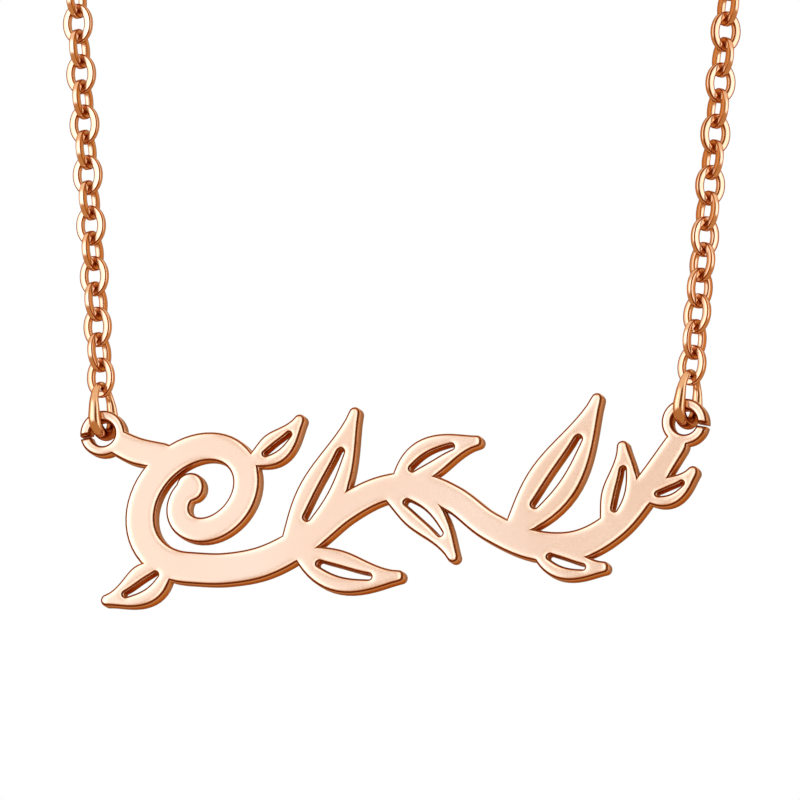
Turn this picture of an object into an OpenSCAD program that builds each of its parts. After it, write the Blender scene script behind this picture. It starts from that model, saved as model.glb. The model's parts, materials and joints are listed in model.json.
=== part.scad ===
// Nameplate necklace: a pierced plate in the form of a leafy vine, hung by two oval jump rings
// from a cable chain of flat oval links that closes at a clasp.
// The plate lies in the XZ plane and faces -Y. The chain is one flat loop above it, leaning
// outwards as it rises and closed by an arch. The origin is under the clasp, where the loop hangs.

/* [Plate] */
// Distance between the centres of the two eyelets
eyelet_span = 38; // [34:0.5:42]
// Height of the plate from its lowest leaf to its tallest tip
plate_h = 13.2; // [12:0.1:15]
// Thickness of the plate
plate_t = 1.3; // [1:0.05:1.4]
// Width of the vine's stem at its widest
stem_w = 2.1; // [1.8:0.1:2.3]
// Radius of the scroll at the left, to the middle of its stem
scroll_r = 4.5; // [4:0.1:4.8]
// Width of the rounded tips of the leaves
tip_w = 0.8; // [0.6:0.05:1]
// Width of the slot pierced through a leaf, for each millimetre of the leaf's width
slot_share = 0.2; // [0.15:0.01:0.25]

/* [Eyelets] */
// Width of the metal round the hole
eyelet_rim = 0.7; // [0.6:0.02:0.74]
// Room round a jump ring's wire in the hole of its eyelet
hole_room = 0.5; // [0.46:0.02:0.6]
// Width of the slit in the outer side of each eyelet
eyelet_slit = 0.18; // [0.12:0.02:0.3]

/* [Jump rings] */
// Thickness of the wire of the jump rings
ring_wire = 0.6; // [0.5:0.02:0.64]
// Room beside the plate's thickness inside a jump ring
side_room = 0.35; // [0.3:0.05:0.5]
// Outer height of the jump rings
ring_h = 4; // [3.8:0.05:4.6]
// Turn of the jump rings about their own height, from edge on
ring_turn = 15; // [8:1:16]

/* [Chain] */
// Number of links in each half of the chain
links = 106; // [90:1:110]
// Outer length of a link
link_l = 2.66; // [2.5:0.02:2.8]
// Outer width of a link
link_w = 1.92; // [1.8:0.02:2.1]
// Thickness of a link
link_t = 0.3; // [0.26:0.01:0.32]
// Width of the metal along a link's sides
link_side = 0.42; // [0.36:0.01:0.44]
// Width of the metal round a link's ends
link_end = 0.4; // [0.34:0.01:0.42]
// Lean of the chain's sides, outwards as they rise
chain_lean = 5; // [3:0.5:7]

/* [Clasp] */
// Outer diameter of the clasp's ring
clasp_d = 6; // [5.5:0.1:7]
// Thickness of the clasp's ring
clasp_wire = 1.1; // [0.9:0.05:1.3]
// Outer diameter of the clasp's eye
eye_d = 2.4; // [2.3:0.05:2.8]
// Thickness of the eye's wire
eye_wire = 0.55; // [0.45:0.05:0.6]
// Outer diameter of the end ring that holds the clasp's eye
end_ring_d = 3; // [2.9:0.05:3.4]
// Outer diameter of the end ring that the clasp closes on
catch_ring_d = 3.6; // [3.4:0.1:4.2]
// Thickness of the wire of the end rings
end_wire = 0.5; // [0.4:0.02:0.56]

/* [Hidden] */
rose_gold = [0.9, 0.69, 0.58];
round_fn = 56;

// Clear space between one loop of metal and the next that passes through it
link_gap = 0.2;
// Clear space between the rim above an eyelet's hole and the jump ring's wire under it, for the swing
swing_gap = 0.6;
// Height of the eyelets' centres, as a share of the plate's height
eyelet_up = 0.85;

// The stem of the vine, from the foot of the scroll, where it starts, to the right eyelet.
// Along is a share of the eyelet span, up a share of the plate's height, weight a share of the stem's width.
STEM = [
    // along, up, weight
    [0.215, 0.175, 1.00],
    [0.285, 0.210, 1.00],
    [0.355, 0.315, 0.95],
    [0.420, 0.460, 0.90],
    [0.485, 0.550, 0.86],
    [0.550, 0.560, 0.86],
    [0.610, 0.490, 0.86],
    [0.670, 0.360, 0.90],
    [0.745, 0.265, 0.95],
    [0.820, 0.260, 0.95],
    [0.885, 0.360, 0.90],
    [0.935, 0.530, 0.86],
    [0.985, 0.740, 0.76]
];
// The short neck from the left eyelet to the scroll, in the same shares
NECK = [
    // along, up, weight
    [0.020, 0.815, 0.80],
    [0.060, 0.760, 0.86],
    [0.105, 0.735, 0.80]
];
// The leaves. Foot and tip are places in the same shares, width and bow are shares of the stem's width.
LEAVES = [
    // foot along, foot up, tip along, tip up, width, bow
    [0.315, 0.250, 0.435, 0.925, 1.50, -0.24],
    [0.335, 0.270, 0.515, 0.125, 1.30, -0.33],
    [0.505, 0.555, 0.645, 0.775, 1.25, 0.30],
    [0.485, 0.540, 0.608, 0.215, 1.20, 0.33],
    [0.695, 0.300, 0.850, 0.970, 1.62, -0.29],
    [0.865, 0.330, 0.895, 0.735, 1.15, -0.24],
    [0.930, 0.500, 1.015, 0.605, 0.92, -0.24],
    [0.120, 0.230, 0.013, 0.032, 1.28, 0.24],
    [0.255, 0.700, 0.340, 0.895, 1.02, -0.19],
    [0.745, 0.265, 0.865, 0.150, 1.05, -0.24]
];
// Place of the scroll's centre, in the same shares, its slant, its turn and how far its radius closes in
SCROLL_AT = [0.176, 0.525];
scroll_lean = 0.22;
scroll_turn = 485;
scroll_closing = 0.73;
// Turns of the links about the chain, at the jump ring and further up
TURN_LEFT = [-25, -10];
TURN_RIGHT = [-25, -50];
// Number of links over which the chain twists above the jump ring, and before the clasp
low_twist = 8;
top_twist = 26;

// Radii and distances that follow from the sizes
hole_r = ring_wire / 2 + hole_room;
ring_w = plate_t + 2 * side_room + 2 * ring_wire;
ring_low = hole_r - swing_gap;
ring_mid = ring_low + ring_h / 2 - ring_wire;
pitch = link_l - 2 * link_end - link_gap;
first_link = ring_mid + ring_h / 2 - ring_wire - link_gap - link_end + link_l / 2;
last_link = first_link + (links - 1) * pitch;
// Distance from the centre of a link to the centre of a ring of diameter d that hangs in its end
function to_ring(d) = link_l / 2 - link_end - link_gap - end_wire + d / 2;
// Places along the straight top, counted from the centre of the left chain's last link
eye_x = to_ring(end_ring_d) + end_ring_d / 2 - end_wire - link_gap - eye_wire + eye_d / 2;
solder = 0.4;
clasp_x = eye_x + eye_d / 2 - solder + clasp_d / 2;
catch_x = clasp_x + clasp_d / 2 - clasp_wire - link_gap - end_wire + catch_ring_d / 2;
top_half = (catch_x + to_ring(catch_ring_d)) / 2;
// The chain's sides are straight, and its arch turns from their lean to level
arch_turn = 90 + chain_lean;
arch_unit = arch_turn * PI / 180;
side_run = (last_link - arch_unit * (eyelet_span / 2 - top_half) / cos(chain_lean))
    / (1 + arch_unit * tan(chain_lean));
arch_r = (eyelet_span / 2 - top_half + side_run * sin(chain_lean)) / cos(chain_lean);
top_z = clasp_d / 2;
eyelet_z = top_z - arch_r - arch_r * sin(chain_lean) - side_run * cos(chain_lean);

// Points of the plate

// A place in shares as millimetres from the middle between the eyelets, with its width
function place(row) = [
    (row[0] - 0.5) * eyelet_span,
    (row[1] - eyelet_up) * plate_h,
    row[2] * stem_w
];
// A smooth curve through four rows, at share t of the way from the second to the third
function smooth(a, b, c, d, t) = 0.5 * (2 * b + (c - a) * t
    + (2 * a - 5 * b + 4 * c - d) * t * t + (3 * b - a - 3 * c + d) * t * t * t);
function curve(rows, steps = 8) = let (last = len(rows) - 1) [
    for (i = [0 : last - 1], k = [0 : steps - 1])
        smooth(rows[max(i - 1, 0)], rows[i], rows[i + 1], rows[min(i + 2, last)], k / steps),
    rows[last]
];
// The unit vector to the left of a path at its point i
function left_of(path, i) = let (
    a = path[max(i - 1, 0)],
    b = path[min(i + 1, len(path) - 1)],
    d = [b[0] - a[0], b[1] - a[1]]
) [-d[1], d[0]] / norm(d);
function edge(path, hand) = [
    for (i = [0 : len(path) - 1])
        [path[i][0], path[i][1]] + hand * path[i][2] / 2 * left_of(path, i)
];
// The points of a round end at point i, which turn right from the bearing of its left side plus turn
function round_end(path, i, turn, steps = 8) = let (
    s = left_of(path, i),
    start = atan2(s[1], s[0]) + turn
) [
    for (k = [1 : steps - 1]) let (a = start - 180 * k / steps)
        [path[i][0] + path[i][2] / 2 * cos(a), path[i][1] + path[i][2] / 2 * sin(a)]
];
function reversed(list) = [for (i = [len(list) - 1 : -1 : 0]) list[i]];
// The middle line of a leaf between two shares of its length, with its width at each point
function blade(row, from, to, end_w, mid_w, steps) = let (
    foot = place([row[0], row[1], 0]),
    tip = place([row[2], row[3], 0]),
    d = [tip[0] - foot[0], tip[1] - foot[1]],
    across = [-d[1], d[0]] / norm(d)
) [
    for (k = [0 : steps]) let (
        t = from + (to - from) * k / steps,
        p = [foot[0], foot[1]] + d * t + across * row[5] * stem_w * 4 * t * (1 - t)
    ) [p[0], p[1], end_w + (mid_w - end_w) * pow(sin(180 * pow(k / steps, 0.85)), 1.35)]
];
// The scroll's middle line at share t of its turn, from its foot inwards and to the left
function scroll_at(t) = let (
    c = place([SCROLL_AT[0], SCROLL_AT[1], 0]),
    r = scroll_r * (1 - scroll_closing * t),
    a = -90 - scroll_turn * t
) [c[0] + r * (cos(a) + scroll_lean * sin(a)), c[1] + r * sin(a), stem_w * (1 - 0.28 * t)];
function scroll(steps = 80) = [for (k = [0 : steps]) scroll_at(k / steps)];

// Flat outlines of the plate

// A band of metal along a path, with round ends
module ribbon(path) {
    polygon(reversed(concat(
        edge(path, 1),
        round_end(path, len(path) - 1, 0),
        reversed(edge(path, -1)),
        round_end(path, 0, 180)
    )));
}

module stem() {
    ribbon(curve(concat([scroll_at(0)], [for (row = STEM) place(row)])));
    ribbon(curve([for (row = NECK) place(row)]));
}

module scroll_with_bud() {
    path = scroll();
    bud = path[len(path) - 1];
    ribbon(path);
    translate([bud[0], bud[1]]) circle(d = stem_w * 0.9, $fn = round_fn);
}

module leaf(row) {
    ribbon(blade(row, 0, 1, tip_w, row[4] * stem_w, 18));
}

module leaf_slot(row) {
    slot_w = slot_share * row[4] * stem_w;
    ribbon(blade(row, 0.27, 0.74, slot_w * 0.55, slot_w, 12));
}

module eyelet_disc(hand) {
    translate([hand * eyelet_span / 2, 0]) circle(r = hole_r + eyelet_rim, $fn = round_fn);
}

module eyelet_cut(hand) {
    translate([hand * eyelet_span / 2, 0]) {
        circle(r = hole_r, $fn = round_fn);
        rotate(hand > 0 ? -10 : 190)
            translate([hole_r / 2, -eyelet_slit / 2])
                square([hole_r / 2 + eyelet_rim * 1.5, eyelet_slit]);
    }
}

module plate_outline() {
    difference() {
        union() {
            stem();
            scroll_with_bud();
            for (row = LEAVES) leaf(row);
            for (hand = [-1, 1]) eyelet_disc(hand);
        }
        for (row = LEAVES) leaf_slot(row);
        for (hand = [-1, 1]) eyelet_cut(hand);
    }
}

// Loops of metal, each upright along Z and facing -Y

module oval_ring(w, h, wire) {
    bend_r = (w - wire) / 2;
    straight = h - w;
    for (turn = [90, -90])
        translate([0, 0, sign(turn) * straight / 2])
            rotate([turn, 0, 0])
                rotate_extrude(angle = 180, $fn = round_fn)
                    translate([bend_r, 0]) circle(d = wire, $fn = round_fn);
    for (hand = [-1, 1])
        translate([hand * bend_r, 0, -straight / 2])
            cylinder(d = wire, h = straight, $fn = round_fn);
}

module round_ring(d, wire) {
    rotate([90, 0, 0])
        rotate_extrude($fn = round_fn)
            translate([(d - wire) / 2, 0]) circle(d = wire, $fn = round_fn);
}

module stadium(w, l) {
    for (hand = [-1, 1])
        translate([0, hand * (l - w) / 2]) circle(d = w, $fn = round_fn);
    square([w, l - w], center = true);
}

module link() {
    rotate([90, 0, 0])
        linear_extrude(link_t, center = true)
            difference() {
                stadium(link_w, link_l);
                stadium(link_w - 2 * link_side, link_l - 2 * link_end);
            }
}

// The route of the chain, measured from an eyelet's centre: along the side, then round the arch

// The lean of the chain from upright, outwards, at distance s
function lean_at(s) = s < side_run ? chain_lean : chain_lean - (s - side_run) / arch_r * 180 / PI;
function route_x(s) = s < side_run
    ? eyelet_span / 2 + s * sin(chain_lean)
    : top_half + arch_r * cos(lean_at(s));
function route_z(s) = s < side_run
    ? eyelet_z + s * cos(chain_lean)
    : top_z - arch_r - arch_r * sin(lean_at(s));

module on_route(hand, s, turn) {
    translate([hand * route_x(s), 0, route_z(s)])
        rotate([0, hand * lean_at(s), 0])
            rotate([0, 0, turn])
                children();
}

function eased(t) = let (u = min(max(t, 0), 1)) u * u * (3 - 2 * u);
// The turn of link i about the chain: alternate links are at right angles, and both twist slowly
function link_turn(turns, i) = let (
    top_turn = -90 * ((links - 1) % 2),
    up = turns[0] + (turns[1] - turns[0]) * eased(i / low_twist)
) up + (top_turn - up) * eased(1 - (links - 1 - i) / top_twist) + 90 * (i % 2);

// The pieces

module nameplate() {
    color(rose_gold)
        translate([0, 0, eyelet_z])
            rotate([90, 0, 0])
                linear_extrude(plate_t, center = true)
                    plate_outline();
}

module jump_ring(hand) {
    color(rose_gold)
        on_route(hand, ring_mid, 90 - ring_turn)
            oval_ring(ring_w, ring_h, ring_wire);
}

module chain(hand, turns) {
    color(rose_gold)
        for (i = [0 : links - 1])
            on_route(hand, first_link + i * pitch, link_turn(turns, i))
                link();
}

module end_ring(x, d) {
    color(rose_gold)
        translate([x - top_half, 0, top_z])
            rotate([90, 0, 0])
                round_ring(d, end_wire);
}

module clasp() {
    color(rose_gold)
        translate([-top_half, 0, top_z]) {
            translate([clasp_x, 0, 0]) round_ring(clasp_d, clasp_wire);
            translate([eye_x, 0, 0]) round_ring(eye_d, eye_wire);
        }
}

nameplate();
jump_ring(-1);  // jump_ring_left
jump_ring(1);  // jump_ring_right
chain(-1, TURN_LEFT);  // chain_left
chain(1, TURN_RIGHT);  // chain_right
end_ring(to_ring(end_ring_d), end_ring_d);  // end_ring_left
end_ring(catch_x, catch_ring_d);  // end_ring_right
clasp();
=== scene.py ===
"""Looks of a pierced rose gold nameplate necklace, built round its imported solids.

Every size is in metres. The plate lies in the XZ plane and faces -Y, and the origin is under the clasp.
"""

import json
import logging
import math
from dataclasses import dataclass
from enum import Enum
from typing import Callable, Sequence

import bmesh
import bpy
from mathutils import Matrix, Vector

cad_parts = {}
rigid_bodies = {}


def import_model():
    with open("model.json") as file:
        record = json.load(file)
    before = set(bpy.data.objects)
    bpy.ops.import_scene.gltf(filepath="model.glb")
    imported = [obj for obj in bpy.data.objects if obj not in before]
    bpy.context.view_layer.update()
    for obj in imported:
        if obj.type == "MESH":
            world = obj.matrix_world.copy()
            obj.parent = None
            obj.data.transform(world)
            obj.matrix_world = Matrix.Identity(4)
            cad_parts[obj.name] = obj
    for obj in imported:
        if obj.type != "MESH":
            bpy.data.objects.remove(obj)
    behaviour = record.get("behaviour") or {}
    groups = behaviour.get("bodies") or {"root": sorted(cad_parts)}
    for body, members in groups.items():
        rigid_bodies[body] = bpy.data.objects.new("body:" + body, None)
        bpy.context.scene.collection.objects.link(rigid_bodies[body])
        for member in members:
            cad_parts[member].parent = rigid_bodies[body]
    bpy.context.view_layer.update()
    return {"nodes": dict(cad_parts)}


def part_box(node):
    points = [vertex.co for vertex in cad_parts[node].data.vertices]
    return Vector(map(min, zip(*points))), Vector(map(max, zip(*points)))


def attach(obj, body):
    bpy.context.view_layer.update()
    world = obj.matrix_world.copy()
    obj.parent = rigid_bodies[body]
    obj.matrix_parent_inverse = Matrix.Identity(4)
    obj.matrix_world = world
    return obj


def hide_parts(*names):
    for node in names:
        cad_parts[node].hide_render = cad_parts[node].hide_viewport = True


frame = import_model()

log = logging.getLogger("nameplate_necklace")
MM = 0.001
# The face attribute that marks rounded rims, where the finishes paint a dark rim shade
RIM = "rim"
Colour = tuple[float, float, float]
Spot = tuple[float, float]
Span = tuple[float, float]

# Points closer than this count as one
TOUCH = 0.0005 * MM

# The share of Y in the normal of a true flat, of a front or back, of a rounded rim beside it, and of a wall
TRUE_FLAT = 0.9999
FRONT_OR_BACK = 0.9
ROUNDED = (0.5, 0.97)
WALL = 0.1


class Hand(Enum):
    """The side of the necklace, as the plate is seen from its front."""

    LEFT = -1
    RIGHT = 1

    @property
    def word(self) -> str:
        """The word that the pieces of this side carry in their names."""
        return self.name.lower()


class Mix(Enum):
    """The kind of a Mix node, with the numbers of its inputs (share, first, second) and its output."""

    COLOUR = ("RGBA", (0, 6, 7), 2)
    VECTOR = ("VECTOR", (0, 4, 5), 1)


# Modelling


def deselect_all() -> None:
    """Leaves object mode with nothing selected."""
    if bpy.context.object and bpy.context.object.mode != "OBJECT":
        bpy.ops.object.mode_set(mode="OBJECT")
    for other in bpy.context.view_layer.objects:
        other.select_set(False)


def only(piece: bpy.types.Object) -> None:
    """Makes a piece the only selected object, and the active one.

    Args:
        piece: The object to select.
    """
    deselect_all()
    piece.select_set(True)
    bpy.context.view_layer.objects.active = piece


def named(piece: bpy.types.Object, name: str) -> bpy.types.Object:
    """Gives an object and its mesh their name, and puts its place, turn and size into its mesh.

    Args:
        piece: The object.
        name: Its new name.

    Returns:
        The same object, at the origin.
    """
    only(piece)
    bpy.ops.object.transform_apply(location=True, rotation=True, scale=True)
    piece.name = name
    piece.data.name = name
    return piece


def pick(piece: bpy.types.Object, kind: str, test: Callable[[object], bool]) -> int:
    """Selects the faces, edges or points of a mesh in edit mode that pass a test, and nothing else.

    Args:
        piece: The object in edit mode.
        kind: FACE, EDGE or VERT.
        test: Is given the element, and says whether it is wanted.

    Returns:
        How many were selected.
    """
    bpy.ops.mesh.select_mode(type=kind)
    bpy.ops.mesh.select_all(action="DESELECT")
    mesh = bmesh.from_edit_mesh(piece.data)
    elements = {"FACE": mesh.faces, "EDGE": mesh.edges, "VERT": mesh.verts}[kind]
    wanted = [element for element in elements if test(element)]
    for element in wanted:
        element.select_set(True)
    mesh.select_flush_mode()
    bmesh.update_edit_mesh(piece.data)
    return len(wanted)


def between_face_and_wall(edge: "bmesh.types.BMEdge") -> bool:
    """Whether an edge lies between a flat front or back and a wall that runs through the thickness."""
    if len(edge.link_faces) != 2:
        return False
    slopes = sorted(abs(face.normal.y) for face in edge.link_faces)
    return slopes[0] < WALL and slopes[1] > FRONT_OR_BACK


def with_modifier(piece: bpy.types.Object, kind: str, **settings: object) -> None:
    """Adds a modifier to a piece and applies it.

    Args:
        piece: The object.
        kind: The modifier's type.
        settings: Its values by name.
    """
    only(piece)
    bpy.ops.object.modifier_add(type=kind)
    modifier = piece.modifiers[-1]
    for name, value in settings.items():
        setattr(modifier, name, value)
    bpy.ops.object.modifier_apply(modifier=modifier.name)


def smooth(piece: bpy.types.Object, crease: float, weighted: bool = False) -> None:
    """Shades a piece smooth up to a crease angle.

    Args:
        piece: The object in object mode.
        crease: The least angle, in degrees, that stays a sharp edge.
        weighted: Whether large faces count for more than small ones in the shading of a shared corner.
    """
    only(piece)
    bpy.ops.object.shade_smooth_by_angle(angle=math.radians(crease))
    if weighted:
        with_modifier(piece, "WEIGHTED_NORMAL", mode="FACE_AREA", weight=80, keep_sharp=True)


def keep_flat(piece: bpy.types.Object) -> int:
    """Shades the flat front and back of a piece, which face along Y, straight up to their rims.

    Args:
        piece: The object in object mode.

    Returns:
        How many points belong to the flats.
    """
    straight = {}
    for face in piece.data.polygons:
        if abs(face.normal.y) > TRUE_FLAT:
            outward = (0.0, math.copysign(1.0, face.normal.y), 0.0)
            straight.update(dict.fromkeys(face.vertices, outward))
    normals = [tuple(corner.vector) for corner in piece.data.corner_normals]
    for corner, loop in enumerate(piece.data.loops):
        normals[corner] = straight.get(loop.vertex_index, normals[corner])
    piece.data.normals_split_custom_set(normals)
    return len(straight)


def mark_rim(piece: bpy.types.Object) -> None:
    """Marks the rounded faces that lie next to the flat sides of a piece, which face along Y, where the
    finish paints its dark rim shade.

    Args:
        piece: The object in object mode.
    """
    rim = piece.data.attributes.new(RIM, "FLOAT", "FACE")
    for face, mark in zip(piece.data.polygons, rim.data):
        mark.value = 1.0 if ROUNDED[0] < abs(face.normal.y) < ROUNDED[1] else 0.0


def join(pieces: Sequence[bpy.types.Object], name: str) -> bpy.types.Object:
    """Joins objects into one.

    Args:
        pieces: The objects.
        name: The name of the whole.

    Returns:
        The joined object.
    """
    deselect_all()
    for piece in pieces:
        piece.select_set(True)
    bpy.context.view_layer.objects.active = pieces[0]
    bpy.ops.object.join()
    return named(pieces[0], name)


def wire_ring(diameter: float, wire: float, round_segments: int, wire_segments: int) -> bpy.types.Object:
    """A round ring of wire about the Y axis, centred on the origin.

    Args:
        diameter: Its outer diameter.
        wire: The thickness of the wire.
        round_segments: Corners round the ring.
        wire_segments: Corners round the wire.

    Returns:
        The ring.
    """
    deselect_all()
    bpy.ops.mesh.primitive_torus_add(
        major_segments=round_segments,
        minor_segments=wire_segments,
        major_radius=(diameter - wire) / 2,
        minor_radius=wire / 2,
        rotation=(math.pi / 2, 0, 0),
    )
    return named(bpy.context.object, "wire_ring")


@dataclass(frozen=True)
class ButtJoint:
    """The fine joint where the two ends of a closed wire ring meet.

    Attributes:
        half_width: Half the width of its groove.
        narrowed: What is left of the wire's thickness in the groove.
        reach: How far round the joint the ring is cut, in thicknesses of the wire.
    """

    half_width: float = 0.03 * MM
    narrowed: float = 0.86
    reach: float = 1.6

    def press(self, ring: bpy.types.Object, place: Vector, along: Vector, wire: float) -> None:
        """Presses the joint into the surface of a ring, as a fine groove round the wire.

        Args:
            ring: The ring.
            place: The middle of the wire at the joint.
            along: The unit vector of the way the wire runs there.
            wire: The thickness of the wire.
        """
        only(ring)
        bpy.ops.object.mode_set(mode="EDIT")
        for step in (-self.half_width, 0.0, self.half_width):
            pick(ring, "FACE", lambda face: (face.calc_center_median() - place).length < wire * self.reach)
            bpy.ops.mesh.bisect(plane_co=place + along * step, plane_no=along)

        def on_joint(point: "bmesh.types.BMVert") -> bool:
            """Whether a point lies on the middle cut of this joint."""
            offset = point.co - place
            return abs(offset.dot(along)) < TOUCH and offset.length < wire

        if pick(ring, "VERT", on_joint):
            bpy.ops.transform.resize(value=(self.narrowed,) * 3, center_override=place)
        bpy.ops.object.mode_set(mode="OBJECT")


# Effects that the finishes share


class NodeTree:
    """A few words for building a node tree."""

    def __init__(self, tree: bpy.types.NodeTree) -> None:
        """Starts on a tree.

        Args:
            tree: The node tree of a material, a group or the world.
        """
        self.tree = tree

    def add(self, kind: str, place: Spot, **settings: object) -> bpy.types.Node:
        """Adds a node.

        Args:
            kind: The node's type.
            place: Where it stands in the editor.
            settings: Its properties by name.

        Returns:
            The node.
        """
        node = self.tree.nodes.new(kind)
        node.location = place
        for name, value in settings.items():
            setattr(node, name, value)
        return node

    def feed(self, socket: bpy.types.NodeSocket, value: "bpy.types.NodeSocket | Colour | float") -> None:
        """Gives an input an output to follow, or a plain value or colour of its own.

        Args:
            socket: The input.
            value: What it gets.
        """
        if isinstance(value, bpy.types.NodeSocket):
            self.tree.links.new(value, socket)
        elif isinstance(value, tuple):
            socket.default_value = (*value, 1.0)
        else:
            socket.default_value = value

    def group(
        self,
        tree: bpy.types.NodeTree,
        place: Spot,
        values: "dict[str, bpy.types.NodeSocket | Colour | float]",
    ) -> "bpy.types.bpy_prop_collection":
        """Adds a shared effect.

        Args:
            tree: The effect's node group.
            place: Where the node stands.
            values: What each of its inputs gets.

        Returns:
            Its outputs.
        """
        node = self.add("ShaderNodeGroup", place, node_tree=tree)
        for socket, value in values.items():
            self.feed(node.inputs[socket], value)
        return node.outputs

    def maths(
        self,
        operation: str,
        place: Spot,
        first: "bpy.types.NodeSocket | float",
        second: "bpy.types.NodeSocket | float" = 0.0,
    ) -> bpy.types.NodeSocket:
        """Adds a sum on two values.

        Args:
            operation: The sum's name.
            place: Where the node stands.
            first: The first value or output.
            second: The second value or output.

        Returns:
            The result.
        """
        node = self.add("ShaderNodeMath", place, operation=operation)
        for socket, value in zip(node.inputs, (first, second)):
            self.feed(socket, value)
        return node.outputs[0]

    def stretch(
        self,
        value: bpy.types.NodeSocket,
        place: Spot,
        source: Span,
        target: Span = (0.0, 1.0),
        kind: str = "SMOOTHSTEP",
    ) -> bpy.types.NodeSocket:
        """Carries a value from one span to another.

        Args:
            value: The output to carry over.
            place: Where the node stands.
            source: The two ends of the span that it comes from.
            target: What these ends become.
            kind: How it is carried over.

        Returns:
            The result.
        """
        node = self.add("ShaderNodeMapRange", place, interpolation_type=kind)
        sockets = ("Value", "From Min", "From Max", "To Min", "To Max")
        for socket, given in zip(sockets, (value, *source, *target)):
            self.feed(node.inputs[socket], given)
        return node.outputs["Result"]

    def blend(
        self,
        share: "bpy.types.NodeSocket | float",
        place: Spot,
        first: "bpy.types.NodeSocket | Colour",
        second: "bpy.types.NodeSocket | Colour",
        kind: Mix = Mix.COLOUR,
    ) -> bpy.types.NodeSocket:
        """Adds a mix of two colours or vectors.

        Args:
            share: The share of the second one.
            place: Where the node stands.
            first: The first colour or output.
            second: The second colour or output.
            kind: Which of the two it mixes.

        Returns:
            The mixed colour or vector.
        """
        data_type, inputs, output = kind.value
        node = self.add("ShaderNodeMix", place, data_type=data_type)
        for number, value in zip(inputs, (share, first, second)):
            self.feed(node.inputs[number], value)
        return node.outputs[output]

    def noise(
        self,
        size: bpy.types.NodeSocket,
        place: Spot,
        vector: bpy.types.NodeSocket,
        detail: float,
        roughness: float = 0.5,
    ) -> bpy.types.NodeSocket:
        """Adds noise whose features have a given size.

        Args:
            size: The size of a feature.
            place: Where the node stands.
            vector: The point that it is asked for.
            detail: How many finer layers lie on it.
            roughness: How strong these layers are.

        Returns:
            The noise, from 0 to 1.
        """
        texture = self.add("ShaderNodeTexNoise", place)
        texture.inputs["Detail"].default_value = detail
        texture.inputs["Roughness"].default_value = roughness
        scale = self.maths("DIVIDE", (place[0] - 200, place[1]), 1.0, size)
        self.feed(texture.inputs["Scale"], scale)
        self.feed(texture.inputs["Vector"], vector)
        return texture.outputs["Fac"]


class EffectGroup:
    """A shader node group with named inputs and outputs."""

    def __init__(self, name: str, inputs: dict[str, str], outputs: dict[str, str]) -> None:
        """Makes the group and its sockets.

        Args:
            name: The group's name.
            inputs: Each input's name, with its kind, such as Float or Color.
            outputs: The same for each output.
        """
        self.group = bpy.data.node_groups.new(name, "ShaderNodeTree")
        for side, sockets in (("INPUT", inputs), ("OUTPUT", outputs)):
            for socket, kind in sockets.items():
                self.group.interface.new_socket(socket, in_out=side, socket_type=f"NodeSocket{kind}")
        self.nodes = NodeTree(self.group)
        self.given = self.nodes.add("NodeGroupInput", (-900, 0)).outputs
        self.gives = self.nodes.add("NodeGroupOutput", (900, 0)).inputs


def polish_group() -> bpy.types.NodeTree:
    """The marks of a polishing wheel, as height and roughness: slow waves, fine hairlines and grain."""
    numbers = ("Wave Size", "Wave Depth", "Grain Size", "Grain Depth", "Bright", "Dull")
    effect = EffectGroup(
        "polishing_marks",
        dict.fromkeys(numbers, "Float"),
        {"Roughness": "Float", "Height": "Float"},
    )
    nodes, given = effect.nodes, effect.given
    layers = 0.55
    hairline_turn = 0.62
    hairline_stretch = 0.06
    place = nodes.add("ShaderNodeTexCoord", (-900, 400)).outputs["Object"]
    wave = nodes.noise(given["Wave Size"], (-400, 400), place, 1.0, layers)
    grain = nodes.noise(given["Grain Size"], (-400, 150), place, 3.0, layers)
    drawn = nodes.add("ShaderNodeMapping", (-650, -150))
    drawn.inputs["Rotation"].default_value = (0.0, hairline_turn, 0.0)
    drawn.inputs["Scale"].default_value = (hairline_stretch, 1.0, 1.0)
    nodes.feed(drawn.inputs["Vector"], place)
    lines = nodes.noise(given["Grain Size"], (-400, -150), drawn.outputs["Vector"], 2.0, layers)
    hairline = nodes.stretch(lines, (-150, -150), (0.62, 0.72))
    wave_height = nodes.maths("MULTIPLY", (50, 400), wave, given["Wave Depth"])
    fine = nodes.maths("SUBTRACT", (50, 150), grain, hairline)
    fine_height = nodes.maths("MULTIPLY", (250, 150), fine, given["Grain Depth"])
    nodes.feed(effect.gives["Height"], nodes.maths("ADD", (450, 300), wave_height, fine_height))
    cloudy = nodes.stretch(grain, (50, -150), (0.35, 0.75))
    share = nodes.maths("MAXIMUM", (250, -150), cloudy, hairline)
    span = nodes.maths("SUBTRACT", (250, -350), given["Dull"], given["Bright"])
    rise = nodes.maths("MULTIPLY", (450, -200), share, span)
    nodes.feed(effect.gives["Roughness"], nodes.maths("ADD", (650, -200), rise, given["Bright"]))
    return effect.group


def plating_group() -> bpy.types.NodeTree:
    """The slow drift of a plated colour between a pale and a deep tone."""
    effect = EffectGroup(
        "plating_drift",
        {"Pale": "Color", "Deep": "Color", "Patch Size": "Float"},
        {"Color": "Color"},
    )
    nodes, given = effect.nodes, effect.given
    place = nodes.add("ShaderNodeTexCoord", (-700, 200)).outputs["Object"]
    drift = nodes.noise(given["Patch Size"], (-300, 200), place, 1.0)
    share = nodes.stretch(drift, (0, 200), (0.3, 0.7))
    nodes.feed(effect.gives["Color"], nodes.blend(share, (300, 100), given["Pale"], given["Deep"]))
    return effect.group


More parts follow.
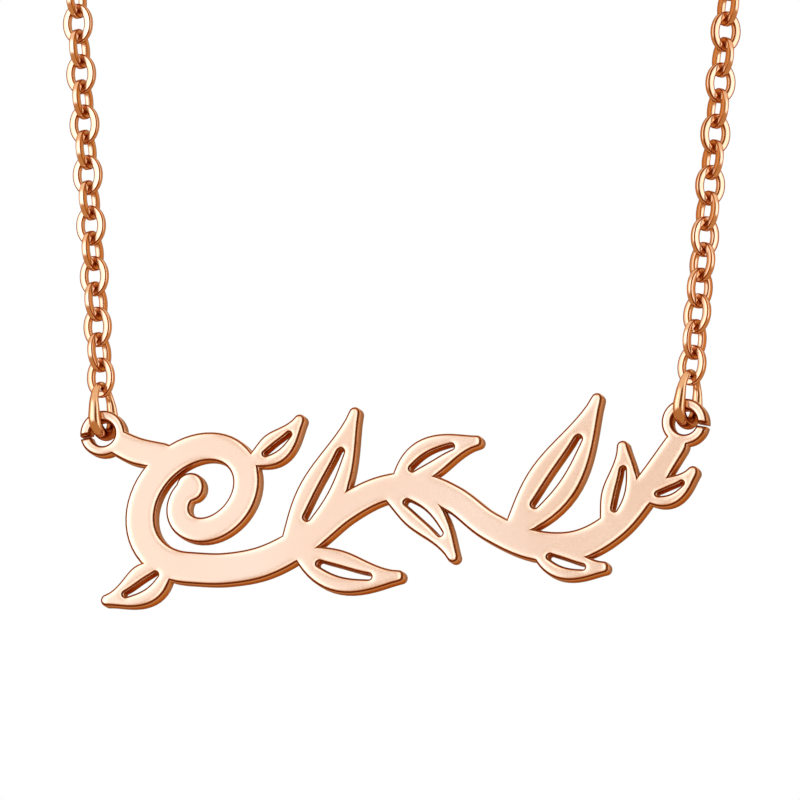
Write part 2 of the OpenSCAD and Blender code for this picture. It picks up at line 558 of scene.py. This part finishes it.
def edge_shade_group() -> bpy.types.NodeTree:
    """Painted shade: a dark colour painted on the rounded rims and, where ambient occlusion finds the metal
    shut in, a dark colour painted in the creases; and the soft roll of a polished face.
    """
    colours = dict.fromkeys(("Metal", "Rim", "Crease"), "Color")
    numbers = dict.fromkeys(("Rim Mask", "Crease Reach", "Roll Width", "Roll Share"), "Float")
    effect = EffectGroup("painted_edge_and_crease_shade", colours | numbers, {"Color": "Color", "Normal": "Vector"})
    nodes, given = effect.nodes, effect.given
    normal = nodes.add("ShaderNodeNewGeometry", (-600, 100)).outputs["Normal"]
    rolled = nodes.add("ShaderNodeBevel", (-600, 300), samples=16)
    nodes.feed(rolled.inputs["Radius"], given["Roll Width"])
    tilted = nodes.blend(given["Roll Share"], (-300, 250), normal, rolled.outputs["Normal"], Mix.VECTOR)
    unit = nodes.add("ShaderNodeVectorMath", (-100, 250), operation="NORMALIZE")
    nodes.feed(unit.inputs[0], tilted)
    nodes.feed(effect.gives["Normal"], unit.outputs["Vector"])
    shut_in = nodes.add("ShaderNodeAmbientOcclusion", (-200, -100), samples=6)
    nodes.feed(shut_in.inputs["Distance"], given["Crease Reach"])
    # Painted shade: the crease colour is painted where ambient occlusion finds the metal shut in
    crease = nodes.stretch(shut_in.outputs["AO"], (0, -100), (0.2, 0.75), (1.0, 0.0))
    # Painted shade: the rim colour is painted on the rounded rims that the rim mask marks
    rim_shaded = nodes.blend(given["Rim Mask"], (450, 200), given["Metal"], given["Rim"])
    nodes.feed(effect.gives["Color"], nodes.blend(crease, (650, 100), rim_shaded, given["Crease"]))
    return effect.group


@dataclass(frozen=True)
class Effects:
    """The node groups that every finish uses."""

    polish: bpy.types.NodeTree
    plating: bpy.types.NodeTree
    edge: bpy.types.NodeTree

    @classmethod
    def built(cls) -> "Effects":
        """Builds each group once."""
        return cls(polish=polish_group(), plating=plating_group(), edge=edge_shade_group())


@dataclass(frozen=True)
class RoseGold:
    """A rose gold plated finish.

    Attributes:
        name: The material's name.
        pale: The palest tone of the plating, and deep is its deepest one.
        rim: The dark colour painted on the rounded rims, as painted shade.
        crease: The dark colour painted where the metal is shut in, as painted shade, and crease_reach is
            how near that is.
        slant_tint: The tint of what the metal mirrors at a slant.
        patch_size: The size of the patches of pale and deep.
        wave_size: The size of the slow waves that polishing leaves, and wave_depth is their height.
        grain_size: The same for the fine grain, with grain_depth.
        bright: The least roughness, and dull is the most.
        roll_width: How far from an edge a face begins to roll over, and roll_share is how much.
    """

    name: str
    pale: Colour = (0.985, 0.765, 0.63)
    deep: Colour = (0.93, 0.665, 0.505)
    # Painted shade: dark tones painted on the rounded rims and in the shut-in creases
    rim: Colour = (0.28, 0.075, 0.01)
    crease: Colour = (0.47, 0.16, 0.025)
    slant_tint: Colour = (0.45, 0.22, 0.1)
    patch_size: float = 14 * MM
    wave_size: float = 6 * MM
    wave_depth: float = 0.006 * MM
    grain_size: float = 0.09 * MM
    grain_depth: float = 0.0004 * MM
    bright: float = 0.12
    dull: float = 0.2
    crease_reach: float = 0.5 * MM
    roll_width: float = 0.6 * MM
    roll_share: float = 0.52

    def material(self, effects: Effects) -> bpy.types.Material:
        """Builds the material.

        Args:
            effects: The shared node groups.

        Returns:
            The material.
        """
        material = bpy.data.materials.new(self.name)
        material.use_nodes = True
        nodes = NodeTree(material.node_tree)
        plating = nodes.group(effects.plating, (-900, 300), {
            "Pale": self.pale,
            "Deep": self.deep,
            "Patch Size": self.patch_size,
        })
        # Painted shade: the rim colour is painted on the marked rims, and the crease colour where the metal
        # is shut in
        rim = nodes.add("ShaderNodeAttribute", (-900, 550), attribute_type="GEOMETRY", attribute_name=RIM)
        edge = nodes.group(effects.edge, (-600, 300), {
            "Metal": plating["Color"],
            "Rim": self.rim,
            "Crease": self.crease,
            "Rim Mask": rim.outputs["Fac"],
            "Crease Reach": self.crease_reach,
            "Roll Width": self.roll_width,
            "Roll Share": self.roll_share,
        })
        polish = nodes.group(effects.polish, (-900, -100), {
            "Wave Size": self.wave_size,
            "Wave Depth": self.wave_depth,
            "Grain Size": self.grain_size,
            "Grain Depth": self.grain_depth,
            "Bright": self.bright,
            "Dull": self.dull,
        })
        bump = nodes.add("ShaderNodeBump", (-300, -200))
        bump.inputs["Distance"].default_value = 1.0
        nodes.feed(bump.inputs["Height"], polish["Height"])
        nodes.feed(bump.inputs["Normal"], edge["Normal"])
        shader = material.node_tree.nodes["Principled BSDF"]
        shader.inputs["Metallic"].default_value = 1.0
        shader.inputs["Specular Tint"].default_value = (*self.slant_tint, 1.0)
        nodes.feed(shader.inputs["Base Color"], edge["Color"])
        nodes.feed(shader.inputs["Roughness"], polish["Roughness"])
        nodes.feed(shader.inputs["Normal"], bump.outputs["Normal"])
        return material


PLATE_FINISH = RoseGold("rose_gold_plate", crease_reach=0.9 * MM)
WIRE_FINISH = RoseGold(
    "rose_gold_wire",
    pale=(0.9, 0.635, 0.42),
    deep=(0.84, 0.54, 0.32),
    patch_size=4 * MM,
    wave_depth=0.004 * MM,
    roll_share=0.0,
)
LINK_FINISH = RoseGold(
    "rose_gold_link",
    pale=(0.985, 0.755, 0.58),
    deep=(0.93, 0.645, 0.45),
    # Painted shade: the links' dark rim and crease colours
    rim=(0.42, 0.11, 0.006),
    crease=(0.42, 0.1, 0.004),
    slant_tint=(0.45, 0.2, 0.05),
    patch_size=5 * MM,
    wave_depth=0.003 * MM,
    crease_reach=0.3 * MM,
    roll_width=0.22 * MM,
    roll_share=0.55,
)
CLASP_FINISH = RoseGold("rose_gold_clasp", patch_size=5 * MM, wave_depth=0.004 * MM, roll_share=0.0)


def dress(piece: bpy.types.Object, material: bpy.types.Material, body: str, node: str) -> None:
    """Gives a finished piece its material and its body, and hides the solid that it stands for.

    Args:
        piece: The piece.
        material: Its finish.
        body: The body it rides on.
        node: The solid it replaces.
    """
    piece.data.materials.clear()
    piece.data.materials.append(material)
    for face in piece.data.polygons:
        face.material_index = 0
    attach(piece, body)
    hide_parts(node)
    log.info("%s: %d faces, on %s, for %s", piece.name, len(piece.data.polygons), body, node)


# Sub-assemblies


@dataclass
class Plate:
    """The pierced plate, cut from sheet, with its rims rounded by polishing."""

    body: str = "plate"
    node: str = "nameplate"
    rim: float = 0.2 * MM
    rim_steps: int = 5
    crease: float = 38.0

    def build(self) -> bpy.types.Object:
        """Copies the cut plate, merges it, rounds the rims of its front and back and spans both anew.

        Returns:
            The plate.
        """
        mesh = frame["nodes"][self.node].data.copy()
        plate = bpy.data.objects.new("plate_polished", mesh)
        bpy.context.scene.collection.objects.link(plate)
        only(plate)
        bpy.ops.object.mode_set(mode="EDIT")
        bpy.ops.mesh.select_all(action="SELECT")
        bpy.ops.mesh.remove_doubles(threshold=TOUCH)
        bpy.ops.mesh.customdata_custom_splitnormals_clear()
        pick(plate, "FACE", lambda face: abs(face.normal.y) < WALL)
        bpy.ops.mesh.tris_convert_to_quads(face_threshold=math.radians(1.0), shape_threshold=math.pi)
        rims = pick(plate, "EDGE", between_face_and_wall)
        bpy.ops.mesh.bevel(
            offset=self.rim,
            offset_type="OFFSET",
            segments=self.rim_steps,
            profile=0.5,
            affect="EDGES",
            clamp_overlap=False,
            loop_slide=False,
            miter_outer="ARC",
            spread=0.0,
        )
        low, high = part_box(self.node)
        for side in (low.y, high.y):
            self.fill_flat(plate, side)
        bpy.ops.object.mode_set(mode="OBJECT")
        smooth(plate, self.crease)
        flats = keep_flat(plate)
        log.info("plate: %d rim edges rounded, %d points of its flats shaded straight", rims, flats)
        mark_rim(plate)
        return named(plate, "plate_polished")

    @staticmethod
    def fill_flat(plate: bpy.types.Object, side: float) -> None:
        """Spans the front or the back anew inside its rounded rim, so that it is flat without a fold.

        Args:
            plate: The plate in edit mode.
            side: The Y of that face.
        """

        def on_side(point: "bmesh.types.BMVert") -> bool:
            """Whether a point lies on this side."""
            return abs(point.co.y - side) < TOUCH

        pick(plate, "FACE", lambda face: all(on_side(point) for point in face.verts))
        bpy.ops.mesh.delete(type="FACE")
        pick(plate, "EDGE", lambda edge: edge.is_boundary and all(on_side(point) for point in edge.verts))
        bpy.ops.mesh.fill(use_beauty=True)

    def dress(self, plate: bpy.types.Object, material: bpy.types.Material) -> None:
        """Gives the plate its finish."""
        dress(plate, material, self.body, self.node)


@dataclass(frozen=True)
class Route:
    """The way that the chain takes from an eyelet up the side and round the arch.

    Attributes:
        eyelet_span: The distance between the centres of the two eyelets, which lie at eyelet_z.
        lean: How far the straight sides lean outward, in degrees.
        side_run: The length of a side, from the centre of the eyelet to the arch.
        arch_r: The radius of the arch.
        top_half: How far the centre of that radius is from the middle of the necklace.
        top_z: The height of the top of the arch.
    """

    eyelet_span: float = 38 * MM
    eyelet_z: float = -160.241 * MM
    lean: float = 5.0
    side_run: float = 136.588 * MM
    arch_r: float = 24.9945 * MM
    top_half: float = 6.005 * MM
    top_z: float = 3 * MM

    def place(self, hand: Hand, along: float, turn: float) -> Matrix:
        """The place and turn of a piece on the route.

        Args:
            hand: The side of the necklace.
            along: The distance from the centre of the eyelet.
            turn: The turn about the chain, in degrees.

        Returns:
            Its matrix.
        """
        if along < self.side_run:
            lean = math.radians(self.lean)
            x = self.eyelet_span / 2 + along * math.sin(lean)
            z = self.eyelet_z + along * math.cos(lean)
        else:
            lean = math.radians(self.lean) - (along - self.side_run) / self.arch_r
            x = self.top_half + self.arch_r * math.cos(lean)
            z = self.top_z - self.arch_r - self.arch_r * math.sin(lean)
        return (
            Matrix.Translation((hand.value * x, 0.0, z))
            @ Matrix.Rotation(hand.value * lean, 4, "Y")
            @ Matrix.Rotation(math.radians(turn), 4, "Z")
        )


@dataclass
class JumpRing:
    """The oval wire ring between an eyelet and the chain.

    Attributes:
        width: Its width as a round ring, before its halves are drawn apart to its height.
        top_thinned: How far the wire's surface is worn down at the top, above top_from.
        thinning_reach: How far that wear runs out.
        joint_z: The height of its joint over its middle.
        along: The distance of its middle from the centre of the eyelet.
        turn: Its turn about the chain, in degrees.
        drawn_in: The share of its width that is left when it is drawn narrow.
        taper: How strongly it narrows towards the top.
    """

    hand: Hand
    route: Route
    width: float = 3.34 * MM
    height: float = 4.0 * MM
    wire: float = 0.78 * MM
    top_thinned: float = 0.13 * MM
    top_from: float = 1.1 * MM
    thinning_reach: float = 1.6 * MM
    joint_z: float = -0.3 * MM
    along: float = 1.6 * MM
    turn: float = 75.0
    drawn_in: float = 0.93
    taper: float = 0.34
    crease: float = 50.0
    joint: ButtJoint = ButtJoint()

    def build(self) -> bpy.types.Object:
        """Models the ring: halves drawn apart, the top worn thinner, the joint at the back.

        Returns:
            The ring.
        """
        ring = wire_ring(self.width, self.wire, round_segments=72, wire_segments=28)
        half = (self.height - self.width) / 2
        bpy.ops.object.mode_set(mode="EDIT")
        for way in (1, -1):
            pick(ring, "VERT", lambda point, way=way: (point.co.z > -TOUCH) == (way > 0))
            bpy.ops.transform.translate(value=(0.0, 0.0, way * half))
        bpy.ops.mesh.select_all(action="SELECT")
        bpy.ops.transform.resize(value=(self.drawn_in, 1.0, 1.0), center_override=(0.0, 0.0, 0.0))
        pick(ring, "VERT", lambda point: point.co.z > self.top_from)
        bpy.ops.transform.shrink_fatten(
            value=-self.top_thinned,
            use_proportional_edit=True,
            proportional_edit_falloff="SMOOTH",
            proportional_size=self.thinning_reach,
        )
        bpy.ops.object.mode_set(mode="OBJECT")
        with_modifier(
            ring,
            "SIMPLE_DEFORM",
            deform_method="TAPER",
            deform_axis="Z",
            factor=-self.taper,
            lock_y=True,
        )
        level = [point.co for point in ring.data.vertices if abs(point.co.z - self.joint_z) < self.wire / 4]
        limb = [place.x for place in level if place.x > 0]
        middle = Vector(((min(limb) + max(limb)) / 2, 0.0, self.joint_z))
        self.joint.press(ring, middle, Vector((0.0, 0.0, 1.0)), self.wire)
        log.info("jump ring: %.2f mm high", ring.dimensions.z / MM)
        ring.data.transform(self.route.place(self.hand, self.along, self.turn))
        smooth(ring, self.crease)
        return named(ring, f"jump_ring_wire_{self.hand.word}")

    def dress(self, ring: bpy.types.Object, material: bpy.types.Material) -> None:
        """Gives the ring its finish."""
        dress(ring, material, "chain_loop", f"jump_ring_{self.hand.word}")


@dataclass
class ChainHalf:
    """One half of the cable chain, of flat oval links.

    Attributes:
        turns: The turn of the first link, and the one that the links reach after low_twist of them.
        band: The width of a link's band at its ends, and side_band is its width at its sides.
        edge: How wide the rounded edges are.
        first_link: The distance of the first link's middle from the centre of the eyelet.
        top_twist: Over how many links at the top the chain turns to face -Y.
    """

    hand: Hand
    route: Route
    turns: Span
    links: int = 106
    link_l: float = 2.62 * MM
    link_w: float = 2.1 * MM
    link_t: float = 0.4 * MM
    band: float = 0.45 * MM
    side_band: float = 0.5 * MM
    edge: float = 0.09 * MM
    edge_steps: int = 3
    corners: int = 32
    pitch: float = 1.66 * MM
    first_link: float = 3.73 * MM
    low_twist: int = 8
    top_twist: int = 26
    crease: float = 42.0

    def link(self) -> bpy.types.Object:
        """Models one link with rounded edges, upright and facing -Y, centred on the origin.

        Returns:
            The link.
        """
        deselect_all()
        # A disc one unit wide, which is then drawn to the oval
        bpy.ops.mesh.primitive_cylinder_add(
            vertices=self.corners,
            radius=0.5,
            depth=self.link_t,
            end_fill_type="NGON",
            rotation=(math.pi / 2, 0, 0),
        )
        link = named(bpy.context.object, "link")
        bpy.ops.object.mode_set(mode="EDIT")
        bpy.ops.mesh.select_all(action="SELECT")
        bpy.ops.transform.resize(value=(self.link_w, 1.0, self.link_l), center_override=(0.0, 0.0, 0.0))
        pick(link, "FACE", lambda face: abs(face.normal.y) > FRONT_OR_BACK)
        bpy.ops.mesh.inset(thickness=self.band, depth=0.0)
        narrowed = (self.link_w - 2 * self.side_band) / (self.link_w - 2 * self.band)
        bpy.ops.transform.resize(value=(narrowed, 1.0, 1.0), center_override=(0.0, 0.0, 0.0))
        bpy.ops.mesh.bridge_edge_loops()
        bpy.ops.mesh.select_all(action="SELECT")
        bpy.ops.mesh.normals_make_consistent(inside=False)
        pick(link, "EDGE", between_face_and_wall)
        bpy.ops.mesh.bevel(offset=self.edge, offset_type="OFFSET", segments=self.edge_steps, affect="EDGES")
        bpy.ops.object.mode_set(mode="OBJECT")
        mark_rim(link)
        return link

    def turn(self, number: int) -> float:
        """The turn of a link about the chain, in degrees.

        Args:
            number: The link, counted from the jump ring.

        Returns:
            Its turn. Alternate links are at right angles, all twist slowly, and the last one faces -Y.
        """

        def eased(share: float) -> float:
            """A share that starts and ends softly."""
            share = min(max(share, 0.0), 1.0)
            return share * share * (3 - 2 * share)

        last = self.links - 1
        facing_front = -90.0 * (last % 2)
        first, later = self.turns
        low = first + (later - first) * eased(number / self.low_twist)
        near_top = eased(1 - (last - number) / self.top_twist)
        return low + (facing_front - low) * near_top + 90 * (number % 2)

    def build(self) -> bpy.types.Object:
        """Models the link once, sets a copy at every place and joins them.

        Returns:
            The half chain.
        """
        pattern = self.link()
        pieces = []
        for number in range(self.links):
            piece = bpy.data.objects.new("link", pattern.data.copy())
            bpy.context.scene.collection.objects.link(piece)
            along = self.first_link + number * self.pitch
            piece.data.transform(self.route.place(self.hand, along, self.turn(number)))
            pieces.append(piece)
        bpy.data.objects.remove(pattern)
        chain = join(pieces, f"cable_chain_{self.hand.word}")
        smooth(chain, self.crease, weighted=True)
        return chain

    def dress(self, chain: bpy.types.Object, material: bpy.types.Material) -> None:
        """Gives the half chain its finish."""
        dress(chain, material, "chain_loop", f"chain_{self.hand.word}")


@dataclass
class EndRing:
    """The small wire ring between an end of the chain and the clasp. It lies level."""

    hand: Hand
    diameter: float
    wire: float = 0.5 * MM
    crease: float = 50.0
    joint: ButtJoint = ButtJoint()

    def build(self) -> bpy.types.Object:
        """Models the ring where its solid is.

        Returns:
            The ring.
        """
        low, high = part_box(f"end_ring_{self.hand.word}")
        ring = wire_ring(self.diameter, self.wire, round_segments=56, wire_segments=20)
        side = (self.diameter - self.wire) / 2
        self.joint.press(ring, Vector((0.0, 0.0, side)), Vector((1.0, 0.0, 0.0)), self.wire)
        ring.data.transform(Matrix.Translation((low + high) / 2) @ Matrix.Rotation(math.pi / 2, 4, "X"))
        smooth(ring, self.crease)
        return named(ring, f"end_ring_wire_{self.hand.word}")

    def dress(self, ring: bpy.types.Object, material: bpy.types.Material) -> None:
        """Gives the ring its finish."""
        dress(ring, material, "chain_loop", f"end_ring_{self.hand.word}")


@dataclass
class Clasp:
    """The plain round clasp, with its eye soldered on. The grid is the size of its remeshed faces."""

    diameter: float = 6 * MM
    wire: float = 1.1 * MM
    eye_diameter: float = 2.4 * MM
    eye_wire: float = 0.55 * MM
    grid: float = 0.07 * MM
    crease: float = 60.0

    def build(self) -> bpy.types.Object:
        """Models ring and eye where their solid is, flows them into one and softens the soldered joint.

        Returns:
            The clasp.
        """
        low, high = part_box("clasp")
        middle = (low.z + high.z) / 2
        eye_x = low.x + self.eye_diameter / 2
        ring_x = high.x - self.diameter / 2
        ring = wire_ring(self.diameter, self.wire, round_segments=80, wire_segments=28)
        ring.data.transform(Matrix.Translation((ring_x, 0.0, middle)))
        eye = wire_ring(self.eye_diameter, self.eye_wire, round_segments=48, wire_segments=20)
        eye.data.transform(Matrix.Translation((eye_x, 0.0, middle)))
        clasp = join([ring, eye], "clasp_ring")
        with_modifier(clasp, "REMESH", mode="VOXEL", voxel_size=self.grid, adaptivity=0.0)
        with_modifier(clasp, "SMOOTH", factor=0.5, iterations=6)
        smooth(clasp, self.crease)
        return named(clasp, "clasp_ring")

    def dress(self, clasp: bpy.types.Object, material: bpy.types.Material) -> None:
        """Gives the clasp its finish."""
        dress(clasp, material, "chain_loop", "clasp")


# The studio


def direction(azimuth: float, elevation: float) -> Vector:
    """The unit vector from the object towards a viewer.

    Args:
        azimuth: Degrees from -Y towards +X.
        elevation: Degrees above the horizon.

    Returns:
        The vector.
    """
    a, e = math.radians(azimuth), math.radians(elevation)
    return Vector((math.sin(a) * math.cos(e), -math.cos(a) * math.cos(e), math.sin(e)))


@dataclass(frozen=True)
class Softbox:
    """A large soft lamp that looks at the plate."""

    name: str
    azimuth: float
    elevation: float
    distance: float
    size: tuple[float, float]
    watts: float
    colour: Colour = (1.0, 1.0, 1.0)

    def build(self, target: Vector) -> None:
        """Hangs the lamp.

        Args:
            target: The point that it faces.
        """
        light = bpy.data.lights.new(self.name, "AREA")
        light.shape = "RECTANGLE"
        light.size, light.size_y = self.size
        light.energy = self.watts
        light.color = self.colour
        lamp = bpy.data.objects.new(self.name, light)
        bpy.context.scene.collection.objects.link(lamp)
        away = direction(self.azimuth, self.elevation)
        lamp.location = target + away * self.distance
        lamp.rotation_euler = away.to_track_quat("Z", "Y").to_euler()
        lamp.visible_camera = False
        lamp.visible_glossy = False


@dataclass(frozen=True)
class Studio:
    """Camera, lamps, pale floor and the white room round them.

    Attributes:
        pixel: The width of a pixel of the photograph, at the plate.
        eyelets_at: The pixel where the photograph has the point half way between the eyelets.
        picture: The width of the photograph in pixels.
        sensor: The width of the camera's sensor in millimetres.
        screens: The colours that the metal mirrors round it, each at its azimuth from -Y towards +X.
        above: The Z of a direction where these screens give way to the ceiling, first and last.
        below: The same where they give way to the ground.
        low: The same where they give way to the patch low down at the back.
        behind: The Y of a direction where that patch begins, and where it is full.
    """

    azimuth: float = 13.0
    elevation: float = -9.5
    roll: float = 1.0
    distance: float = 0.85
    pixel: float = 0.0637 * MM
    eyelets_at: Spot = (394.0, 429.0)
    picture: int = 800
    sensor: float = 36.0
    clip: Span = (0.01, 50.0)
    floor_z: float = -0.47
    floor_half: float = 4.0
    paper: Colour = (0.86, 0.86, 0.86)
    softboxes: tuple[Softbox, ...] = (
        Softbox("front_softbox", -38.0, 40.0, 0.9, (0.8, 0.7), 4.0),
        Softbox("back_softbox", 150.0, 50.0, 0.9, (0.8, 0.7), 4.0),
    )
    screens: tuple[tuple[float, Colour], ...] = (
        (-180.0, (0.85, 0.8, 0.75)),
        (-160.0, (0.62, 0.45, 0.32)),
        (-140.0, (0.66, 0.42, 0.26)),
        (-128.0, (0.62, 0.25, 0.06)),
        (-98.0, (0.62, 0.24, 0.05)),
        (-82.0, (0.74, 0.46, 0.28)),
        (-68.0, (1.3, 1.24, 1.18)),
        (-46.0, (1.75, 1.75, 1.75)),
        (-26.0, (2.0, 2.0, 2.0)),
        (-17.0, (1.3, 1.3, 1.3)),
        (-14.2, (1.12, 1.17, 1.26)),
        (-11.4, (0.74, 0.63, 0.54)),
        (-8.5, (0.78, 0.68, 0.58)),
        (-4.0, (1.7, 1.7, 1.7)),
        (8.0, (1.35, 1.33, 1.3)),
        (13.0, (0.17, 0.06, 0.015)),
        (54.0, (0.24, 0.08, 0.01)),
        (60.0, (0.7, 0.45, 0.26)),
        (66.0, (1.52, 1.46, 1.4)),
        (92.0, (1.4, 1.32, 1.24)),
        (104.0, (0.62, 0.24, 0.05)),
        (128.0, (0.62, 0.25, 0.06)),
        (140.0, (0.66, 0.42, 0.26)),
        (160.0, (0.62, 0.45, 0.32)),
        (180.0, (0.85, 0.8, 0.75)),
    )
    ceiling: Colour = (0.95, 0.7, 0.5)
    ground: Colour = (0.54, 0.26, 0.1)
    low_back: Colour = (0.7, 0.29, 0.045)
    above: Span = (0.45, 0.75)
    below: Span = (-0.12, -0.4)
    low: Span = (-0.07, -0.15)
    behind: Span = (0.8, 0.93)

    def camera(self, eyelets: Vector) -> None:
        """Sets the camera so that the eyelets stand in the picture where the photograph has them.

        Args:
            eyelets: The point half way between the eyelets.
        """
        data = bpy.data.cameras.new("photo_camera")
        data.sensor_width = data.sensor_height = self.sensor
        data.lens = self.sensor * self.distance / (self.pixel * self.picture)
        data.clip_start, data.clip_end = self.clip
        camera = bpy.data.objects.new("photo_camera", data)
        bpy.context.scene.collection.objects.link(camera)
        away = direction(self.azimuth, self.elevation)
        roll = Matrix.Rotation(math.radians(self.roll), 3, "Z").to_quaternion()
        turn = away.to_track_quat("Z", "Y") @ roll
        right, up = turn @ Vector((1, 0, 0)), turn @ Vector((0, 1, 0))
        middle = self.picture / 2
        across, down = self.eyelets_at
        aim = eyelets + (right * (middle - across) + up * (down - middle)) * self.pixel
        camera.location = aim + away * self.distance
        camera.rotation_euler = turn.to_euler()
        bpy.context.scene.camera = camera

    def floor(self) -> None:
        """Lays the plain pale floor, far under the necklace."""
        deselect_all()
        bpy.ops.mesh.primitive_plane_add(size=2 * self.floor_half, location=(0.0, 0.0, self.floor_z))
        floor = named(bpy.context.object, "pale_floor")
        material = bpy.data.materials.new("pale_paper")
        material.use_nodes = True
        shader = material.node_tree.nodes["Principled BSDF"]
        shader.inputs["Base Color"].default_value = (*self.paper, 1.0)
        shader.inputs["Roughness"].default_value = 0.9
        floor.data.materials.append(material)
        floor.visible_glossy = False

    def ring_of_screens(
        self,
        nodes: NodeTree,
        x: bpy.types.NodeSocket,
        y: bpy.types.NodeSocket,
    ) -> bpy.types.NodeSocket:
        """Sets up the bright and dusky screens that stand round the metal.

        Args:
            nodes: The world's nodes.
            x: The X of a direction.
            y: Its Y.

        Returns:
            The colour in that direction.
        """
        forward = nodes.maths("MULTIPLY", (-900, 200), y, -1.0)
        azimuth = nodes.maths("ARCTAN2", (-700, 200), x, forward)
        share = nodes.stretch(azimuth, (-500, 200), (-math.pi, math.pi), kind="LINEAR")
        ring = nodes.add("ShaderNodeValToRGB", (-300, 250))
        ring.color_ramp.interpolation = "LINEAR"
        stops = ring.color_ramp.elements
        for stop, (degrees, colour) in zip((stops[0], stops[1]), (self.screens[0], self.screens[-1])):
            stop.position, stop.color = degrees / 360 + 0.5, (*colour, 1.0)
        for degrees, colour in self.screens[1:-1]:
            stops.new(degrees / 360 + 0.5).color = (*colour, 1.0)
        nodes.feed(ring.inputs["Fac"], share)
        return ring.outputs["Color"]

    def mirrored(self, nodes: NodeTree) -> bpy.types.NodeSocket:
        """Sets up all that the metal mirrors: the screens, the ceiling, the ground and a warm low patch.

        Args:
            nodes: The world's nodes.

        Returns:
            The colour in each direction.
        """
        parts = nodes.add("ShaderNodeSeparateXYZ", (-1100, 0))
        way = nodes.add("ShaderNodeTexCoord", (-1300, 0)).outputs["Generated"]
        nodes.feed(parts.inputs["Vector"], way)
        x, y, z = parts.outputs
        above = nodes.stretch(z, (-500, -50), self.above)
        below = nodes.stretch(z, (-500, -300), self.below)
        behind = nodes.stretch(y, (-500, -550), self.behind)
        low = nodes.stretch(z, (-500, -800), self.low)
        low_behind = nodes.maths("MULTIPLY", (-250, -650), behind, low)
        walls = nodes.blend(above, (0, 100), self.ring_of_screens(nodes, x, y), self.ceiling)
        grounded = nodes.blend(below, (200, 0), walls, self.ground)
        return nodes.blend(low_behind, (400, 0), grounded, self.low_back)

    def room(self) -> None:
        """Makes the room: white to look at, but the metal mirrors colours of its own in it."""
        world = bpy.data.worlds.new("white_room")
        bpy.context.scene.world = world
        world.use_nodes = True
        nodes = NodeTree(world.node_tree)
        world.node_tree.nodes.clear()
        lit = nodes.add("ShaderNodeBackground", (600, 0))
        nodes.feed(lit.inputs["Color"], self.mirrored(nodes))
        seen = nodes.add("ShaderNodeBackground", (600, -200))
        seen.inputs["Color"].default_value = (1.0, 1.0, 1.0, 1.0)
        rays = nodes.add("ShaderNodeLightPath", (400, 350)).outputs
        plain = nodes.maths("MAXIMUM", (600, 350), rays["Is Camera Ray"], rays["Is Diffuse Ray"])
        mix = nodes.add("ShaderNodeMixShader", (800, 0))
        for number, value in enumerate((plain, lit.outputs["Background"], seen.outputs["Background"])):
            nodes.feed(mix.inputs[number], value)
        output = nodes.add("ShaderNodeOutputWorld", (1000, 0))
        nodes.feed(output.inputs["Surface"], mix.outputs["Shader"])

    def build(self, eyelets: Vector) -> None:
        """Sets up camera, lamps, floor and room.

        Args:
            eyelets: The point half way between the eyelets.
        """
        bpy.context.scene.view_settings.view_transform = "Standard"
        self.camera(eyelets)
        for softbox in self.softboxes:
            softbox.build(eyelets)
        self.floor()
        self.room()
        log.info("studio: camera at azimuth %.1f, elevation %.1f", self.azimuth, self.elevation)


def main() -> None:
    """Builds the necklace piece by piece, dresses it and sets up the studio."""
    logging.basicConfig(level=logging.INFO, format="%(name)s: %(message)s")
    route = Route()
    Studio().build(Vector((0.0, 0.0, route.eyelet_z)))
    effects = Effects.built()
    plate_metal = PLATE_FINISH.material(effects)
    wire_metal = WIRE_FINISH.material(effects)
    link_metal = LINK_FINISH.material(effects)
    clasp_metal = CLASP_FINISH.material(effects)

    plate = Plate()
    plate.dress(plate.build(), plate_metal)
    for hand, turns in ((Hand.LEFT, (-25.0, -17.0)), (Hand.RIGHT, (-25.0, -46.0))):
        ring = JumpRing(hand, route)
        ring.dress(ring.build(), wire_metal)
        chain = ChainHalf(hand, route, turns)
        chain.dress(chain.build(), link_metal)
    for hand, diameter in ((Hand.LEFT, 3.0 * MM), (Hand.RIGHT, 3.6 * MM)):
        end = EndRing(hand, diameter)
        end.dress(end.build(), wire_metal)
    clasp = Clasp()
    clasp.dress(clasp.build(), clasp_metal)


if __name__ == "__main__":
    main()
